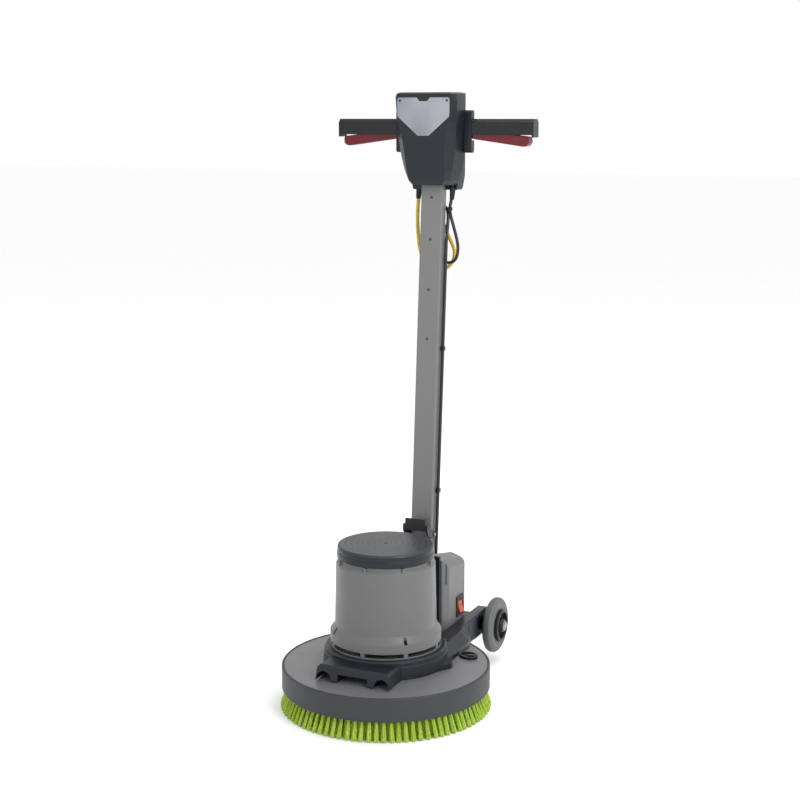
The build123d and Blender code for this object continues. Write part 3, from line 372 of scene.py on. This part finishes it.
def finish_piece(piece, body, slot, *replaced):
    """Ride on a body, take a slot's material and stand for CAD nodes."""
    piece.data.materials.clear()
    piece.data.materials.append(materials[slot])
    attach(piece, body)
    if replaced:
        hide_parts(*replaced)


def mesh_from(name, build):
    """Mesh built by a function that fills a bmesh."""
    form = bmesh.new()
    build(form)
    bmesh.ops.recalc_face_normals(form, faces=form.faces)
    mesh = bpy.data.meshes.new(name)
    form.to_mesh(mesh)
    form.free()
    return mesh


WELD = 0.00002
FLAT_ANGLE = math.radians(1.5)
SHARP_ANGLE = math.radians(28.0)


def soften(name, node_name, body, slot, radius, segments):
    """Copy of a CAD node with its edges rounded off, standing for it."""
    mesh = nodes[node_name].data.copy()
    mesh.name = name
    form = bmesh.new()
    form.from_mesh(mesh)
    bmesh.ops.remove_doubles(form, verts=form.verts, dist=WELD)
    bmesh.ops.dissolve_limit(form, angle_limit=FLAT_ANGLE, verts=form.verts, edges=form.edges)
    form.to_mesh(mesh)
    form.free()
    piece = new_piece(name, mesh, body, slot, node_name)
    bevel = piece.modifiers.new("edges", "BEVEL")
    bevel.width = radius
    bevel.segments = segments
    bevel.limit_method = "ANGLE"
    bevel.angle_limit = SHARP_ANGLE
    for face in mesh.polygons:
        face.use_smooth = True
    piece.modifiers.new("normals", "WEIGHTED_NORMAL")


# name, CAD node, body, slot, edge radius, steps across the edge
SOFT_COPIES = (
    ("head_front_soft", "head_front_cover", "pole", "slate_plastic", 0.006, 3),
    ("head_rear_soft", "head_rear_housing", "pole", "slate_plastic", 0.005, 3),
    ("grip_left_soft", "grip_left", "pole", "grip_plastic", 0.003, 3),
    ("grip_right_soft", "grip_right", "pole", "grip_plastic", 0.003, 3),
    ("grip_brackets_soft", "grip_brackets", "pole", "slate_plastic", 0.0025, 2),
    ("lever_left_soft", "lever_left", "lever_left", "red_plastic", 0.002, 2),
    ("lever_right_soft", "lever_right", "lever_right", "red_plastic", 0.002, 2),
    ("yoke_soft", "chassis_yoke", "chassis", "slate_plastic", 0.0025, 2),
    ("housing_soft", "rear_housing", "chassis", "grey_plastic", 0.003, 2),
    ("cover_soft", "rear_cover", "chassis", "grey_plastic", 0.002, 2),
    ("pedal_soft", "foot_pedal", "foot_pedal", "dark_steel", 0.0006, 2),
)


def make_soft_copies():
    """Moulded parts whose corners are visibly round."""
    for row in SOFT_COPIES:
        soften(*row)


# ---- brush ------------------------------------------------------------------------------
TUFT_ROWS = 8
TUFT_PITCH = 0.0142
INNER_ROW_R = 0.112
OUTER_ROW_INSET = 0.006
FULL_TUFT = (16, 0.0012)
THIN_TUFT = (6, 0.0018)
ROOT_SPREAD = 0.0019
TIP_SPREAD_OUT = 0.0034
TIP_SPREAD_AROUND = 0.0046
TIP_CLEARANCE = 0.0042
SWAY = 0.0016
SPIRAL_STEP = 2.4


def add_filament(form, root, tip, root_width, tip_width, twist):
    """Square nylon filament, a little thicker at its tip."""
    axis = (tip - root).normalized()
    side = axis.orthogonal().normalized()
    side.rotate(Matrix.Rotation(twist, 3, axis))
    across = axis.cross(side)
    rings = []
    for place, width in ((root, root_width), (tip, tip_width)):
        corners = [side, across, -side, -across]
        rings.append([form.verts.new(place + corner * width) for corner in corners])
    for index in range(4):
        following = (index + 1) % 4
        form.faces.new((rings[0][index], rings[0][following], rings[1][following], rings[1][index]))
    form.faces.new(rings[1])
    form.faces.new(reversed(rings[0]))


def build_tufts(form):
    """Rings of flared tufts between the brush block and the floor."""
    chance = random.Random(11)
    low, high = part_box("bristle_ring")
    tip_outer = high.x - 0.0004
    root_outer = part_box("brush_block")[1].x - OUTER_ROW_INSET
    for row in range(TUFT_ROWS):
        part = row / (TUFT_ROWS - 1)
        root_r = INNER_ROW_R + (root_outer - INNER_ROW_R) * part
        lean = (tip_outer - TIP_CLEARANCE - root_outer) * part
        count = round(2 * math.pi * root_r / TUFT_PITCH)
        kind = FULL_TUFT if row >= TUFT_ROWS - 2 else THIN_TUFT
        for index in range(count):
            angle = 2 * math.pi * (index + 0.5 * (row % 2)) / count
            build_tuft(form, chance, angle, root_r, lean, high.z, low.z, kind)


def build_tuft(form, chance, angle, root_r, lean, top, bottom, kind):
    """One tuft: filaments that leave a hole together and fan out a little."""
    filaments, width = kind
    outward = Vector((math.cos(angle), math.sin(angle), 0.0))
    around = Vector((-math.sin(angle), math.cos(angle), 0.0))
    sway = chance.uniform(-SWAY, SWAY)
    for index in range(filaments):
        turn = SPIRAL_STEP * index
        reach = math.sqrt((index + 0.5) / filaments)
        spot_out = math.cos(turn) * reach
        spot_around = math.sin(turn) * reach
        root = outward * (root_r + ROOT_SPREAD * spot_out) + around * ROOT_SPREAD * spot_around
        root.z = top + 0.002
        tip = outward * (root_r + lean + TIP_SPREAD_OUT * spot_out)
        tip += around * (TIP_SPREAD_AROUND * spot_around + sway)
        tip.z = bottom + chance.uniform(0.0006, 0.0016)
        add_filament(form, root, tip, width * 0.8, width, chance.uniform(0.0, 1.5))


def make_brush():
    tufts = mesh_from("bristle_tufts", build_tufts)
    new_piece("bristle_tufts", tufts, "brush", "bristle_green", "bristle_ring")


# ---- cords ------------------------------------------------------------------------------
LEAN = math.radians(4.22)
PIVOT = (0.186, 0.150)


def on_pole(x, offset, height):
    """Point drawn upright on the pole, leaned back with it."""
    rise = height - PIVOT[1]
    y = PIVOT[0] + offset * math.cos(LEAN) + rise * math.sin(LEAN)
    z = PIVOT[1] - offset * math.sin(LEAN) + rise * math.cos(LEAN)
    return (x, y, z)


LEAD_ROUTE = (
    (0.041, 0.262, 1.086), (0.0385, 0.262, 1.054), (0.0305, 0.265, 1.028), (0.040, 0.272, 0.988),
    (0.050, 0.275, 0.946), (0.042, 0.276, 0.915), (0.012, 0.279, 0.911), (-0.010, 0.280, 0.940),
    (-0.013, 0.280, 0.995), (-0.002, 0.280, 1.034), (0.022, 0.275, 1.036), (0.031, 0.262, 1.008),
    on_pole(0.0292, 0.008, 0.968),
)
MAINS_ROUTE = (
    (-0.041, 0.273, 1.086), (-0.048, 0.275, 1.028), (-0.048, 0.278, 0.975), (-0.044, 0.283, 0.931),
    (-0.033, 0.288, 0.903), (-0.005, 0.293, 0.891), (0.023, 0.295, 0.903), (0.035, 0.295, 0.931),
    (0.024, 0.295, 0.959), (0.008, 0.295, 0.985),
)


def make_spline(name, route, radius):
    """Round cord along a smooth spline with the route as its control points."""
    data = bpy.data.curves.new(name, "CURVE")
    data.dimensions = "3D"
    data.bevel_depth = radius
    data.bevel_resolution = 5
    data.resolution_u = 16
    data.use_fill_caps = True
    spline = data.splines.new("NURBS")
    spline.points.add(len(route) - 1)
    for point, place in zip(spline.points, route):
        point.co = (*place, 1.0)
    spline.order_u = 3
    spline.use_endpoint_u = True
    piece = bpy.data.objects.new(name, data)
    bpy.context.scene.collection.objects.link(piece)
    return piece


def make_cords():
    lead = make_spline("motor_lead_cord", LEAD_ROUTE, 0.0035)
    finish_piece(lead, "pole", "black_cable", "motor_lead_loop")
    mains = make_spline("mains_pigtail_cord", MAINS_ROUTE, 0.004)
    finish_piece(mains, "pole", "yellow_cord", "mains_cord")


# ---- carried-over CAD nodes -------------------------------------------------------------
def dress_nodes():
    """Give every CAD node its slot's material."""
    for entry in frame["record"]["subparts"]:
        node = nodes[entry["node"]]
        node.data.materials.clear()
        node.data.materials.append(materials[entry["material_slot"]])
    nodes["motor_cap"].data.materials[0] = worn_cap_material()


materials = make_materials()
make_studio()
make_camera()
dress_nodes()
make_soft_copies()
make_brush()
make_cords()
